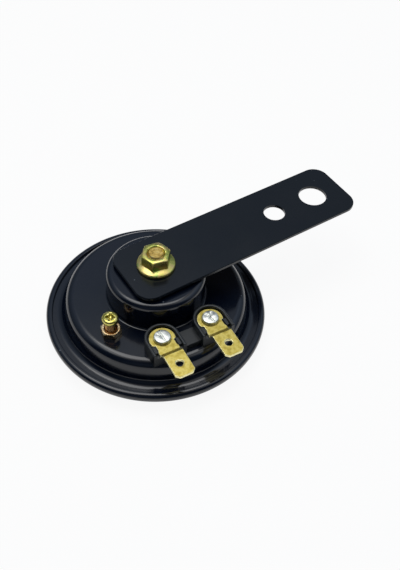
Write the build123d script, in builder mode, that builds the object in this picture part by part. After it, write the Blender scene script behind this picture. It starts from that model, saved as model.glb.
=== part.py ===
from build123d import *
from math import cos, radians, sin, tan
import os

# A 12 volt disc horn, lying on its sounding face. Millimetres, +Z up and away from the
# sounding face. The origin is on the disc's axis, in the plane of the front ring's edge.
# The strap bracket runs along +X.

# Pressed sheet
ring_sheet = 0.8
housing_sheet = 0.8
gasket_sheet = 0.25
diaphragm_sheet = 0.3

# Rim, where the front ring is crimped round the housing's flange
rim_radius = 35.0
lip_width = 2.0
hem_bend = 1.4
collar_depth = 3.7
collar_inset = 4.8
collar_bend = 1.2
edge_break = 0.15
crimp_play = 0.05

# Rear housing
plateau_radius = 0.796 * rim_radius
plateau_draft = 13.5
plateau_rise = 7.65
plateau_bend = 1.0
ledge_bend = 2.5
boss_radius = 0.4386 * rim_radius
boss_rise = 10.25
boss_bend = 1.9
boss_foot_bend = 0.75

# Strap bracket and what clamps it
strap_sheet = 1.0
strap_width = 22.5
strap_near_end = 10.7
strap_far_end = 71.4
strap_corner = 5.0
strap_gap = 1.0
large_hole_radius = 4.6
large_hole_inset = 11.0
small_hole_radius = 3.5
hole_spacing = 15.8
strap_seat_washer_radius = 6.0
stud_radius = 2.5
stud_stick_out = 0.1
bolt_clearance = 0.15
nut_clearance = 0.03

# Plain hexagon nuts: how far the corners are turned off, and the mouth of the bore
nut_corner_drop = 0.35
nut_foot_drop = 0.25
nut_face_inset = 0.1
nut_mouth = 0.3

# Flange nut
flange_nut_flats = 8.0
flange_nut_height = 5.4
flange_nut_flange_radius = 5.9
flange_nut_edge = 1.15
flange_nut_cone = 0.75
flange_nut_turn = -12.0

# Magnet: pole, coil and armature
pole_radius = 5.0
pole_head_radius = 6.8
pole_head_height = 1.25
iron_chamfer = 0.3
stud_end_chamfer = 0.4
air_gap = 0.6
bobbin_bore_play = 0.1
bobbin_cup_play = 0.5
bobbin_wall = 0.8
winding_margin = 0.4
armature_radius = 11.5
armature_flange = 3.85
armature_face_rise = 1.15
armature_stud_radius = 2.0
armature_washer_radius = 6.5
armature_washer_sheet = 0.6
pad_play = 0.1
pad_inset = 0.7
pad_width = 3.5
pad_lift_gap = 0.2

# Tone disc and its nut
tone_disc_sheet = 0.8
tone_disc_edge_gap = 2.5
tone_disc_seat_radius = 7.0
tone_disc_dish_radius = 11.0
tone_disc_dish = 1.85
tone_disc_edge_run = 1.1
tone_disc_edge_rise = 1.2
tone_disc_bend = 0.5
tone_nut_flats = 7.0
tone_nut_height = 2.2
tone_stud_stick_out = 0.3

# Diaphragm bead
bead_width = 3.5
bead_top_width = 1.5
bead_height = 0.6

# Adjusting screw and its lock nut
adjuster_angle = -161.2
adjuster_place = 0.5946 * rim_radius
adjuster_radius = 1.75
adjuster_head_radius = 2.5
adjuster_head_height = 1.7
adjuster_head_top = 7.15
adjuster_head_bend = 0.6
recess_length = 3.5
recess_width = 0.9
recess_depth = 1.2
recess_taper = 12
adjuster_nut_flats = 5.7
adjuster_nut_height = 2.1
adjuster_thread_play = 0.05
adjuster_nut_turn = 0.5

# Contact breaker, in its own radial and tangential directions at the adjusting screw
breaker_offset = 1.0
breaker_width = 0.171 * rim_radius
breaker_base_length = 0.171 * rim_radius
breaker_base_start = -0.357 * rim_radius
breaker_base_sheet = 1.0
breaker_insulator_sheet = 0.5
leaf_sheet = 0.25
leaf_screw_gap = 0.65
leaf_finger_width = 3.0
leaf_finger_lap = 1.8
breaker_spacer_sheet = 0.8
arm_sheet = 0.8
arm_screw_lap = 1.05
contact_radius = 1.2
contact_shank_radius = 0.7
rivet_radius = 0.6
rivet_head_radius = 1.1
rivet_head_height = 0.5
rivet_play = 0.05
sleeve_wall = 0.3
sleeve_play = 0.05
sleeve_reach = 0.65

# Terminal block
block_angle = -94.5
block_gap = 0.33
terminal_spread = 0.2286 * rim_radius
block_floor = 3.4
collar_height = 5.0
horseshoe_radius = 5.3
horseshoe_wall = 1.0
horseshoe_arm = 5.5
block_bridge_height = 2.0
block_bridge_inner = 1.2
block_bridge_outer = 4.2
block_edge_bend = 0.4
key_play = 0.05
key_start = 1.8
key_end = 4.2
key_height = 0.9
spigot_radius = 2.1
spigot_play = 0.1

# Terminals
terminal_sheet = 0.8
terminal_eye_radius = 4.0
terminal_neck_width = 6.0
terminal_fold_width = 6.6
terminal_ear_place = 1.45
terminal_ear_slope = 0.15
terminal_neck_end = 3.4
terminal_neck_slope = 0.9
terminal_shoulder = 0.4
terminal_fold_place = 4.6
terminal_step = 1.6
terminal_step_run = 2.4
blade_width = 6.3
blade_end = 15.4
blade_corner = 1.1
blade_hole_radius = 1.1
blade_hole_place = 11.0
terminal_bend = 0.5

# Terminal screws
screw_radius = 1.5
screw_hole_play = 0.1
screw_head_radius = 2.5
screw_head_height = 0.8
screw_slot_width = 0.6
screw_slot_depth = 0.55
screw_cross_length = 3.2
screw_head_bend = 0.3
screw_washer_radius = 2.75
screw_washer_sheet = 0.4
inner_insulator_sheet = 0.8
inner_insulator_margin = 4.0
inner_insulator_play = 0.2
inner_insulator_corner = 1.5
screw_nut_flats = 5.5
screw_nut_height = 2.4
screw_stick_out = 0.5

# Levels up from the floor, worked out from the stack of pieces
land_top = collar_depth + ring_sheet
diaphragm_bottom = land_top + gasket_sheet
diaphragm_top = diaphragm_bottom + diaphragm_sheet
flange_bottom = diaphragm_top + gasket_sheet
flange_top = flange_bottom + housing_sheet
lip_top = flange_top + ring_sheet
plateau_top = flange_top + plateau_rise
plateau_inside = plateau_top - housing_sheet
boss_top = plateau_top + boss_rise
boss_inside = boss_top - housing_sheet
strap_bottom = boss_top + strap_gap
strap_top = strap_bottom + strap_sheet
nut_top = strap_top + flange_nut_height
armature_bottom = diaphragm_top + armature_washer_sheet
armature_shoulder = armature_bottom + armature_flange
armature_top = armature_shoulder + armature_face_rise
pole_bottom = armature_top + air_gap
pole_head_top = pole_bottom + pole_head_height
leaf_bottom = plateau_inside - breaker_base_sheet - breaker_insulator_sheet - leaf_sheet
arm_top = leaf_bottom - breaker_spacer_sheet
pad_top = leaf_bottom - pad_lift_gap
disc_seat_top = diaphragm_bottom - armature_washer_sheet
disc_seat_bottom = disc_seat_top - tone_disc_sheet
tone_nut_bottom = disc_seat_bottom - tone_nut_height
terminal_bottom = plateau_top + block_floor
terminal_top = terminal_bottom + terminal_sheet
screw_nut_top = plateau_inside - inner_insulator_sheet
collar_radius = rim_radius - collar_inset
pad_radius = armature_radius - pad_inset
armature_face_radius = pad_radius - pad_width - pad_play
lip_inner_radius = rim_radius - lip_width
flange_edge_radius = rim_radius - hem_bend - crimp_play
foot_radius = plateau_radius + plateau_rise * tan(radians(plateau_draft))
wall_shift = housing_sheet * tan(radians((90 - plateau_draft) / 2))
gasket_inner_radius = foot_radius + ledge_bend * tan(radians((90 - plateau_draft) / 2))
bead_radius = (armature_radius + gasket_inner_radius) / 2
tone_disc_radius = collar_radius - ring_sheet - tone_disc_edge_gap
large_hole_place = strap_far_end - large_hole_inset
small_hole_place = large_hole_place - hole_spacing
collar_from_axis = boss_radius + boss_foot_bend + block_gap + horseshoe_radius
block_place = (collar_from_axis ** 2 - terminal_spread ** 2) ** 0.5
breaker_middle = adjuster_place - breaker_offset
base_end = breaker_base_start + breaker_base_length
leaf_end = -adjuster_radius - leaf_screw_gap
contact_place = (base_end + leaf_end) / 2
bobbin_radius = boss_radius - housing_sheet - bobbin_cup_play
bobbin_top_radius = boss_radius - boss_bend
key_width = horseshoe_radius - horseshoe_wall - terminal_fold_width / 2 - key_play


def turned_plane(angle, height):
    """A level plane on the disc's axis, with its X along the given angle."""
    direction = (cos(radians(angle)), sin(radians(angle)), 0)
    return Plane(origin=(0, 0, height), x_dir=direction, z_dir=(0, 0, 1))


def block_plane(height):
    """A level plane on the disc's axis, with its Y out through the terminal block."""
    return turned_plane(block_angle - 90, height)


def upright_plane(angle, place=0.0):
    """A plane on the disc's axis, with X out along the angle and Y up."""
    across = (sin(radians(angle)), -cos(radians(angle)), 0)
    along = (cos(radians(angle)), sin(radians(angle)), 0)
    origin = (-place * across[0], -place * across[1], 0)
    return Plane(origin=origin, x_dir=along, z_dir=across)


def closed_outline(outer, outer_bends, inner, inner_bends):
    """Join two bent lines of a sheet's section, end to end, into one outline."""
    FilletPolyline(*outer, radius=outer_bends)
    FilletPolyline(*inner, radius=inner_bends)
    Line(outer[0], inner[0])
    Line(outer[-1], inner[-1])


def hexagon_nut(label, plane, place, flats, height, hole, turn=0.0):
    """A plain hexagon nut standing on a level plane, at a place in that plane."""
    corner = flats / 2 / cos(radians(30))
    origin = plane.from_local_coords((place[0], place[1], 0))
    seat = Plane(origin=origin, x_dir=plane.x_dir, z_dir=(0, 0, 1))
    side = Plane(origin=origin, x_dir=seat.x_dir, z_dir=-seat.y_dir)
    with BuildPart() as nut:
        with BuildSketch(seat):
            RegularPolygon(radius=flats / 2, side_count=6, major_radius=False, rotation=turn)
        extrude(amount=height)
        with BuildSketch(side):
            with BuildLine():
                Polyline((0, 0), (flats / 2, 0), (corner, nut_foot_drop),
                         (corner, height - nut_corner_drop),
                         (flats / 2 - nut_face_inset, height), (0, height), close=True)
            make_face()
        revolve(axis=Axis(origin, (0, 0, 1)), mode=Mode.INTERSECT)
        with BuildSketch(seat):
            Circle(hole)
        extrude(amount=height, mode=Mode.SUBTRACT)
        chamfer(nut.faces().sort_by(Axis.Z)[-1].inner_wires().edges(), nut_mouth)
    nut.part.label = label
    return nut


# Front ring: one pressing, its edge crimped over the housing's flange behind and drawn
# forward in front into a low collar that guards the tone disc.
with BuildPart() as front_ring:
    collar_inside = collar_radius - ring_sheet
    with BuildSketch(Plane.XZ):
        with BuildLine():
            closed_outline(
                [(collar_radius, 0), (collar_radius, collar_depth), (rim_radius, collar_depth),
                 (rim_radius, lip_top), (lip_inner_radius, lip_top)],
                [collar_bend - ring_sheet, hem_bend, hem_bend],
                [(collar_inside, 0), (collar_inside, land_top),
                 (rim_radius - ring_sheet, land_top), (rim_radius - ring_sheet, flange_top),
                 (lip_inner_radius, flange_top)],
                [collar_bend, hem_bend - ring_sheet, hem_bend - ring_sheet])
        make_face()
    revolve(axis=Axis.Z)
    fillet(front_ring.edges().group_by(Axis.Z)[0], edge_break)
    fillet(front_ring.edges().filter_by(GeomType.CIRCLE).group_by(Axis.Z)[-1], edge_break)
front_ring.part.label = "front_ring"

# Rear housing: flange, drawn plateau and coil cup in one pressing.
with BuildPart() as rear_housing:
    with BuildSketch(Plane.XZ):
        with BuildLine():
            closed_outline(
                [(flange_edge_radius, flange_top), (foot_radius, flange_top),
                 (plateau_radius, plateau_top), (boss_radius, plateau_top),
                 (boss_radius, boss_top), (stud_radius + bolt_clearance, boss_top)],
                [ledge_bend, plateau_bend, boss_foot_bend, boss_bend],
                [(flange_edge_radius, flange_bottom),
                 (foot_radius - wall_shift, flange_bottom),
                 (plateau_radius - wall_shift, plateau_inside),
                 (boss_radius - housing_sheet, plateau_inside),
                 (boss_radius - housing_sheet, boss_inside),
                 (stud_radius + bolt_clearance, boss_inside)],
                [ledge_bend + housing_sheet, plateau_bend - housing_sheet,
                 boss_foot_bend + housing_sheet, boss_bend - housing_sheet])
        make_face()
    revolve(axis=Axis.Z)
    with BuildSketch(turned_plane(adjuster_angle, plateau_top)):
        with Locations((adjuster_place, 0)):
            Circle(adjuster_radius + adjuster_thread_play)
    with BuildSketch(block_plane(plateau_top)):
        with Locations((-terminal_spread, block_place), (terminal_spread, block_place)):
            Circle(spigot_radius + spigot_play)
    extrude(amount=-2 * housing_sheet, mode=Mode.SUBTRACT)
rear_housing.part.label = "rear_housing"


def flat_ring(label, outer, inner, bottom, thickness):
    """A flat washer or gasket about the disc's axis."""
    with BuildPart() as ring:
        with BuildSketch(Plane.XY.offset(bottom)):
            Circle(outer)
            Circle(inner, mode=Mode.SUBTRACT)
        extrude(amount=thickness)
    ring.part.label = label
    return ring


front_gasket = flat_ring("front_gasket", flange_edge_radius, gasket_inner_radius, land_top,
                         gasket_sheet)
rear_gasket = flat_ring("rear_gasket", flange_edge_radius, gasket_inner_radius, diaphragm_top,
                        gasket_sheet)

# Diaphragm: spring steel, clamped at the rim between the gaskets, with one round bead.
with BuildPart() as diaphragm:
    bead = [(bead_radius - bead_width / 2, 0), (bead_radius - bead_top_width / 2, bead_height),
            (bead_radius + bead_top_width / 2, bead_height), (bead_radius + bead_width / 2, 0)]
    hole = armature_stud_radius + bolt_clearance
    with BuildSketch(Plane.XZ):
        with BuildLine():
            for level in (diaphragm_bottom, diaphragm_top):
                Polyline((hole, level), *[(r, level + rise) for r, rise in bead],
                         (flange_edge_radius, level))
            Line((hole, diaphragm_bottom), (hole, diaphragm_top))
            Line((flange_edge_radius, diaphragm_bottom), (flange_edge_radius, diaphragm_top))
        make_face()
    revolve(axis=Axis.Z)
diaphragm.part.label = "diaphragm"

# Armature: the moving iron, a stepped puck headed in one with its threaded stud.
with BuildPart() as armature:
    with BuildSketch(Plane.XZ):
        with BuildLine():
            Polyline((0, tone_nut_bottom - tone_stud_stick_out),
                     (armature_stud_radius, tone_nut_bottom - tone_stud_stick_out),
                     (armature_stud_radius, armature_bottom),
                     (armature_radius, armature_bottom),
                     (armature_radius, armature_shoulder),
                     (armature_face_radius, armature_shoulder),
                     (armature_face_radius, armature_top), (0, armature_top), close=True)
        make_face()
    revolve(axis=Axis.Z)
    chamfer(armature.edges().group_by(Axis.Z)[0], iron_chamfer)
    chamfer(armature.edges().group_by(Axis.Z)[-1], iron_chamfer)
armature.part.label = "armature"

armature_pad = flat_ring("armature_pad", pad_radius, armature_face_radius + pad_play,
                         armature_shoulder, pad_top - armature_shoulder)
armature_washer = flat_ring("armature_washer", armature_washer_radius,
                            armature_stud_radius + bolt_clearance, diaphragm_top,
                            armature_washer_sheet)
disc_washer = flat_ring("disc_washer", armature_washer_radius,
                        armature_stud_radius + bolt_clearance, disc_seat_top,
                        armature_washer_sheet)

# Tone disc: a dished steel disc on the armature's stud, its edge turned back.
with BuildPart() as tone_disc:
    disc_line = [(armature_stud_radius + bolt_clearance, disc_seat_bottom),
                 (tone_disc_seat_radius, disc_seat_bottom),
                 (tone_disc_dish_radius, disc_seat_bottom - tone_disc_dish),
                 (tone_disc_radius - tone_disc_edge_run, disc_seat_bottom - tone_disc_dish),
                 (tone_disc_radius, disc_seat_bottom - tone_disc_dish + tone_disc_edge_rise)]
    with BuildSketch(Plane.XZ):
        with BuildLine():
            for lift in (0, tone_disc_sheet):
                FilletPolyline(*[(r, z + lift) for r, z in disc_line],
                               radius=tone_disc_bend)
            for r, z in (disc_line[0], disc_line[-1]):
                Line((r, z), (r, z + tone_disc_sheet))
        make_face()
    revolve(axis=Axis.Z)
tone_disc.part.label = "tone_disc"

tone_disc_nut = hexagon_nut("tone_disc_nut", Plane.XY.offset(tone_nut_bottom), (0, 0),
                            tone_nut_flats, tone_nut_height,
                            armature_stud_radius + nut_clearance)

# Pole: the fixed iron core, turned in one with the stud that carries the strap. Its head
# holds the bobbin up in the cup.
with BuildPart() as pole:
    with BuildSketch(Plane.XZ):
        with BuildLine():
            Polyline((0, pole_bottom), (pole_head_radius, pole_bottom),
                     (pole_head_radius, pole_head_top), (pole_radius, pole_head_top),
                     (pole_radius, boss_inside), (stud_radius, boss_inside),
                     (stud_radius, nut_top + stud_stick_out),
                     (0, nut_top + stud_stick_out), close=True)
        make_face()
    revolve(axis=Axis.Z)
    chamfer(pole.edges().group_by(Axis.Z)[0], iron_chamfer)
    chamfer(pole.edges().group_by(Axis.Z)[-1], stud_end_chamfer)
pole.part.label = "pole"

# Coil bobbin and its winding, in the cup round the pole.
with BuildPart() as coil_bobbin:
    bobbin_bore = pole_radius + bobbin_bore_play
    with BuildSketch(Plane.XZ):
        with BuildLine():
            Polyline((bobbin_bore, pole_head_top), (bobbin_radius, pole_head_top),
                     (bobbin_radius, pole_head_top + bobbin_wall),
                     (bobbin_bore + bobbin_wall, pole_head_top + bobbin_wall),
                     (bobbin_bore + bobbin_wall, boss_inside - bobbin_wall),
                     (bobbin_top_radius, boss_inside - bobbin_wall),
                     (bobbin_top_radius, boss_inside), (bobbin_bore, boss_inside),
                     close=True)
        make_face()
    revolve(axis=Axis.Z)
coil_bobbin.part.label = "coil_bobbin"

coil_winding = flat_ring("coil_winding", bobbin_top_radius - winding_margin,
                         pole_radius + bobbin_bore_play + bobbin_wall,
                         pole_head_top + bobbin_wall,
                         boss_inside - pole_head_top - 2 * bobbin_wall)

strap_seat_washer = flat_ring("strap_seat_washer", strap_seat_washer_radius,
                              stud_radius + bolt_clearance, boss_top, strap_gap)

# Strap bracket: flat steel with rounded ends and two holes for the vehicle's bolt.
with BuildPart() as strap_bracket:
    with BuildSketch(Plane.XY.offset(strap_bottom)):
        with Locations(((strap_far_end - strap_near_end) / 2, 0)):
            RectangleRounded(strap_far_end + strap_near_end, strap_width, strap_corner)
        Circle(stud_radius + bolt_clearance, mode=Mode.SUBTRACT)
        with Locations((small_hole_place, 0)):
            Circle(small_hole_radius, mode=Mode.SUBTRACT)
        with Locations((large_hole_place, 0)):
            Circle(large_hole_radius, mode=Mode.SUBTRACT)
    extrude(amount=strap_sheet)
    chamfer(strap_bracket.faces().sort_by(Axis.Z)[-1].outer_wire().edges(), edge_break)
strap_bracket.part.label = "strap_bracket"

# Flange nut: hexagon over a coned flange.
with BuildPart() as flange_nut:
    corner = flange_nut_flats / 2 / cos(radians(30))
    with BuildSketch(Plane.XY.offset(strap_top)):
        RegularPolygon(radius=flange_nut_flats / 2, side_count=6, major_radius=False,
                       rotation=flange_nut_turn)
    extrude(amount=flange_nut_height)
    with BuildSketch(Plane.XZ):
        with BuildLine():
            Polyline((0, strap_top), (corner, strap_top),
                     (corner, nut_top - nut_corner_drop),
                     (flange_nut_flats / 2 - nut_face_inset, nut_top), (0, nut_top),
                     close=True)
        make_face()
    revolve(axis=Axis.Z, mode=Mode.INTERSECT)
    with BuildSketch(Plane.XZ):
        with BuildLine():
            Polyline((0, strap_top), (flange_nut_flange_radius, strap_top),
                     (flange_nut_flange_radius, strap_top + flange_nut_edge),
                     (flange_nut_flats / 2, strap_top + flange_nut_edge + flange_nut_cone),
                     (0, strap_top + flange_nut_edge + flange_nut_cone), close=True)
        make_face()
    revolve(axis=Axis.Z)
    with BuildSketch(Plane.XY.offset(strap_top)):
        Circle(stud_radius + nut_clearance)
    extrude(amount=flange_nut_height, mode=Mode.SUBTRACT)
    chamfer(flange_nut.faces().sort_by(Axis.Z)[-1].inner_wires().edges(), nut_mouth)
flange_nut.part.label = "flange_nut"

# Adjusting screw: it bears on the breaker's fixed arm through the plateau.
with BuildPart() as adjusting_screw:
    head_top = plateau_top + adjuster_head_top
    with BuildSketch(turned_plane(adjuster_angle, arm_top)):
        with Locations((adjuster_place, 0)):
            Circle(adjuster_radius)
    extrude(amount=head_top - arm_top - adjuster_head_height)
    with BuildSketch(turned_plane(adjuster_angle, head_top - adjuster_head_height)):
        with Locations((adjuster_place, 0)):
            Circle(adjuster_head_radius)
    extrude(amount=adjuster_head_height)
    fillet(adjusting_screw.edges().group_by(Axis.Z)[-1], adjuster_head_bend)
    with BuildSketch(turned_plane(adjuster_angle, head_top)):
        with Locations((adjuster_place, 0)):
            Rectangle(recess_length, recess_width, rotation=45)
            Rectangle(recess_width, recess_length, rotation=45)
    extrude(amount=-recess_depth, taper=recess_taper, mode=Mode.SUBTRACT)
adjusting_screw.part.label = "adjusting_screw"


adjuster_nut = hexagon_nut("adjuster_nut", turned_plane(adjuster_angle, plateau_top),
                           (adjuster_place, 0), adjuster_nut_flats, adjuster_nut_height,
                           adjuster_radius + nut_clearance, adjuster_nut_turn)


def breaker_rectangle(start, end):
    """A rectangle of the breaker's own width, between two tangential places."""
    with Locations((breaker_middle, (start + end) / 2)):
        Rectangle(breaker_width, end - start)


def rivet_places():
    middle = breaker_base_start + breaker_base_length / 2
    side = breaker_width / 4
    return [(breaker_middle - side, middle), (breaker_middle + side, middle)]


def breaker_plate(label, bottom, thickness, end, hole):
    """One flat layer of the breaker's riveted stack."""
    with BuildPart() as plate:
        with BuildSketch(turned_plane(adjuster_angle, bottom)):
            breaker_rectangle(breaker_base_start, end)
            with Locations(*rivet_places()):
                Circle(hole, mode=Mode.SUBTRACT)
        extrude(amount=thickness)
    plate.part.label = label
    return plate


rivet_hole = rivet_radius + rivet_play
sleeve_radius = rivet_hole + sleeve_wall
sleeve_hole = sleeve_radius + sleeve_play
breaker_base = breaker_plate("breaker_base", plateau_inside - breaker_base_sheet,
                             breaker_base_sheet, base_end, rivet_hole)
breaker_spacer = breaker_plate("breaker_spacer", arm_top, breaker_spacer_sheet, base_end,
                               sleeve_hole)

# Insulator: a plate with two sleeves that keep the rivets off the live leaf.
with BuildPart() as breaker_insulator:
    with BuildSketch(turned_plane(adjuster_angle, leaf_bottom + leaf_sheet)):
        breaker_rectangle(breaker_base_start, base_end)
    extrude(amount=breaker_insulator_sheet)
    with BuildSketch(turned_plane(adjuster_angle, leaf_bottom + leaf_sheet)):
        with Locations(*rivet_places()):
            Circle(sleeve_radius)
    extrude(amount=-leaf_sheet - sleeve_reach)
    with BuildSketch(turned_plane(adjuster_angle, arm_top)):
        with Locations(*rivet_places()):
            Circle(rivet_hole)
    extrude(amount=plateau_inside - arm_top, mode=Mode.SUBTRACT)
breaker_insulator.part.label = "breaker_insulator"

# Moving contact leaf: thin spring bronze, with a finger over the armature's pad.
with BuildPart() as contact_leaf:
    with BuildSketch(turned_plane(adjuster_angle, leaf_bottom)):
        breaker_rectangle(breaker_base_start, leaf_end)
        finger_length = breaker_middle - pad_radius + leaf_finger_lap
        with Locations((breaker_middle - finger_length / 2, leaf_end - leaf_finger_width / 2)):
            Rectangle(finger_length, leaf_finger_width)
        with Locations(*rivet_places()):
            Circle(sleeve_hole, mode=Mode.SUBTRACT)
        with Locations((breaker_middle, contact_place)):
            Circle(contact_shank_radius, mode=Mode.SUBTRACT)
    extrude(amount=leaf_sheet)
contact_leaf.part.label = "contact_leaf"

# Fixed contact arm: the adjusting screw bears on its free end.
with BuildPart() as contact_arm:
    with BuildSketch(turned_plane(adjuster_angle, arm_top - arm_sheet)):
        breaker_rectangle(breaker_base_start, adjuster_radius + arm_screw_lap)
        with Locations(*rivet_places()):
            Circle(rivet_hole, mode=Mode.SUBTRACT)
        with Locations((breaker_middle, contact_place)):
            Circle(contact_shank_radius, mode=Mode.SUBTRACT)
    extrude(amount=arm_sheet)
contact_arm.part.label = "contact_arm"

contact_meeting = (leaf_bottom + arm_top) / 2


def contact_rivet(label, face, seat, back):
    """A contact point: a head from its face to the sheet, and a shank through the sheet."""
    with BuildPart() as contact:
        with BuildSketch(turned_plane(adjuster_angle, face)):
            with Locations((breaker_middle, contact_place)):
                Circle(contact_radius)
        extrude(amount=seat - face)
        with BuildSketch(turned_plane(adjuster_angle, seat)):
            with Locations((breaker_middle, contact_place)):
                Circle(contact_shank_radius)
        extrude(amount=back - seat)
    contact.part.label = label
    return contact


moving_contact = contact_rivet("moving_contact", contact_meeting, leaf_bottom,
                               leaf_bottom + leaf_sheet)
fixed_contact = contact_rivet("fixed_contact", contact_meeting, arm_top, arm_top - arm_sheet)

# Two rivets hold the breaker's stack under its base.
with BuildPart() as breaker_rivets:
    stack_bottom = arm_top - arm_sheet
    with BuildSketch(turned_plane(adjuster_angle, stack_bottom)):
        with Locations(*rivet_places()):
            Circle(rivet_radius)
    extrude(amount=plateau_inside - stack_bottom)
    with BuildSketch(turned_plane(adjuster_angle, stack_bottom)):
        with Locations(*rivet_places()):
            Circle(rivet_head_radius)
    extrude(amount=-rivet_head_height)
breaker_rivets.part.label = "breaker_rivets"


def horseshoe(side, radius, arm):
    """The plan of one terminal seat: a round end and two arms towards the rim."""
    with Locations((side * terminal_spread, block_place)):
        Circle(radius)
    with Locations((side * terminal_spread, block_place + arm / 2)):
        Rectangle(2 * radius, arm)


# Terminal block: moulded black insulator with two horseshoe collars and a bridge.
with BuildPart() as terminal_block:
    with BuildSketch(block_plane(plateau_top)):
        for side in (-1, 1):
            horseshoe(side, horseshoe_radius, horseshoe_arm)
    extrude(amount=collar_height)
    with BuildSketch(block_plane(terminal_bottom)):
        for side in (-1, 1):
            horseshoe(side, horseshoe_radius - horseshoe_wall, horseshoe_arm + 1)
    extrude(amount=collar_height - block_floor, mode=Mode.SUBTRACT)
    with BuildSketch(block_plane(terminal_bottom)):
        for side in (-1, 1):
            for edge in (-1, 1):
                middle = side * terminal_spread + edge * (
                    horseshoe_radius - horseshoe_wall - key_width / 2)
                with Locations((middle, block_place + (key_start + key_end) / 2)):
                    Rectangle(key_width, key_end - key_start)
    extrude(amount=key_height)
    with BuildSketch(block_plane(plateau_top)):
        with Locations((0, block_place + (block_bridge_outer - block_bridge_inner) / 2)):
            Rectangle(2 * terminal_spread, block_bridge_outer + block_bridge_inner)
    extrude(amount=block_bridge_height)
    with BuildSketch(block_plane(plateau_top)):
        with Locations((-terminal_spread, block_place), (terminal_spread, block_place)):
            Circle(spigot_radius)
    extrude(amount=-housing_sheet)
    with BuildSketch(block_plane(plateau_inside)):
        with Locations((-terminal_spread, block_place), (terminal_spread, block_place)):
            Circle(screw_radius + screw_hole_play)
    extrude(amount=collar_height + housing_sheet, mode=Mode.SUBTRACT)
    fillet(terminal_block.edges().group_by(Axis.Z)[-1], block_edge_bend)
terminal_block.part.label = "terminal_block"


def terminal_plan():
    """The blade terminal's flat outline, from its round eye to the blade's end."""
    eye_edge = (terminal_eye_radius ** 2 - terminal_ear_place ** 2) ** 0.5
    shoulder = terminal_fold_place + terminal_shoulder
    ThreePointArc((-eye_edge, terminal_ear_place), (0, -terminal_eye_radius),
                  (eye_edge, terminal_ear_place))
    for edge in (-1, 1):
        Polyline((edge * eye_edge, terminal_ear_place),
                 (edge * terminal_neck_width / 2, terminal_ear_place + terminal_ear_slope),
                 (edge * terminal_neck_width / 2, terminal_neck_end),
                 (edge * terminal_fold_width / 2, terminal_neck_end + terminal_neck_slope),
                 (edge * terminal_fold_width / 2, shoulder),
                 (edge * blade_width / 2, shoulder),
                 (edge * blade_width / 2, blade_end - blade_corner),
                 (edge * (blade_width / 2 - blade_corner), blade_end))
    Line((-blade_width / 2 + blade_corner, blade_end),
         (blade_width / 2 - blade_corner, blade_end))


def blade_terminal(label, side):
    """A brass blade terminal, pressed with a step up from its eye to its blade."""
    step_start = block_place + terminal_fold_place
    step_end = step_start + terminal_step_run
    section = [(block_place - terminal_eye_radius - 1, terminal_bottom),
               (step_start, terminal_bottom), (step_end, terminal_bottom + terminal_step),
               (block_place + blade_end + 1, terminal_bottom + terminal_step)]
    bends = [terminal_bend, terminal_bend]
    with BuildPart() as terminal:
        with BuildSketch(upright_plane(block_angle, -side * terminal_spread)):
            with BuildLine():
                closed_outline(section, bends,
                               [(y, z + terminal_sheet) for y, z in section], bends)
            make_face()
        extrude(amount=terminal_eye_radius + 1, both=True)
        seat = block_plane(terminal_bottom)
        origin = seat.from_local_coords((side * terminal_spread, block_place, 0))
        with BuildSketch(Plane(origin=origin, x_dir=seat.x_dir, z_dir=seat.z_dir)):
            with BuildLine():
                terminal_plan()
            make_face()
        extrude(amount=terminal_step + 2 * terminal_sheet, mode=Mode.INTERSECT)
        with BuildSketch(block_plane(terminal_bottom)):
            with Locations((side * terminal_spread, block_place)):
                Circle(screw_radius + screw_hole_play)
            with Locations((side * terminal_spread, block_place + blade_hole_place)):
                Circle(blade_hole_radius)
        extrude(amount=terminal_step + 2 * terminal_sheet, mode=Mode.SUBTRACT)
    terminal.part.label = label
    return terminal


terminal_left = blade_terminal("terminal_left", 1)
terminal_right = blade_terminal("terminal_right", -1)


def terminal_screw(label, side):
    """A pan head screw with a slot and a cross, through block, plateau and insulator."""
    seat = terminal_top + screw_washer_sheet
    place = (side * terminal_spread, block_place)
    with BuildPart() as screw:
        with BuildSketch(block_plane(screw_nut_top - screw_nut_height - screw_stick_out)):
            with Locations(place):
                Circle(screw_radius)
        extrude(amount=seat - screw_nut_top + screw_nut_height + screw_stick_out)
        with BuildSketch(block_plane(seat)):
            with Locations(place):
                Circle(screw_head_radius)
        extrude(amount=screw_head_height)
        fillet(screw.edges().group_by(Axis.Z)[-1], screw_head_bend)
        with BuildSketch(block_plane(seat + screw_head_height)):
            with Locations(place):
                Rectangle(screw_slot_width, 2 * screw_head_radius)
                Rectangle(screw_cross_length, screw_slot_width)
        extrude(amount=-screw_slot_depth, mode=Mode.SUBTRACT)
    screw.part.label = label
    return screw


def screw_washer(label, side):
    with BuildPart() as washer:
        with BuildSketch(block_plane(terminal_top)):
            with Locations((side * terminal_spread, block_place)):
                Circle(screw_washer_radius)
                Circle(screw_radius + screw_hole_play, mode=Mode.SUBTRACT)
        extrude(amount=screw_washer_sheet)
    washer.part.label = label
    return washer


terminal_screw_left = terminal_screw("terminal_screw_left", 1)
terminal_screw_right = terminal_screw("terminal_screw_right", -1)
terminal_washer_left = screw_washer("terminal_washer_left", 1)
terminal_washer_right = screw_washer("terminal_washer_right", -1)

# Inner insulator: a fibre plate between the plateau and the terminal nuts.
with BuildPart() as inner_insulator:
    with BuildSketch(block_plane(screw_nut_top)):
        with Locations((0, block_place)):
            RectangleRounded(2 * (terminal_spread + inner_insulator_margin),
                             2 * inner_insulator_margin, inner_insulator_corner)
        Circle(plateau_radius - wall_shift - inner_insulator_play, mode=Mode.INTERSECT)
        with Locations((-terminal_spread, block_place), (terminal_spread, block_place)):
            Circle(screw_radius + screw_hole_play, mode=Mode.SUBTRACT)
    extrude(amount=inner_insulator_sheet)
inner_insulator.part.label = "inner_insulator"

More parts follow.
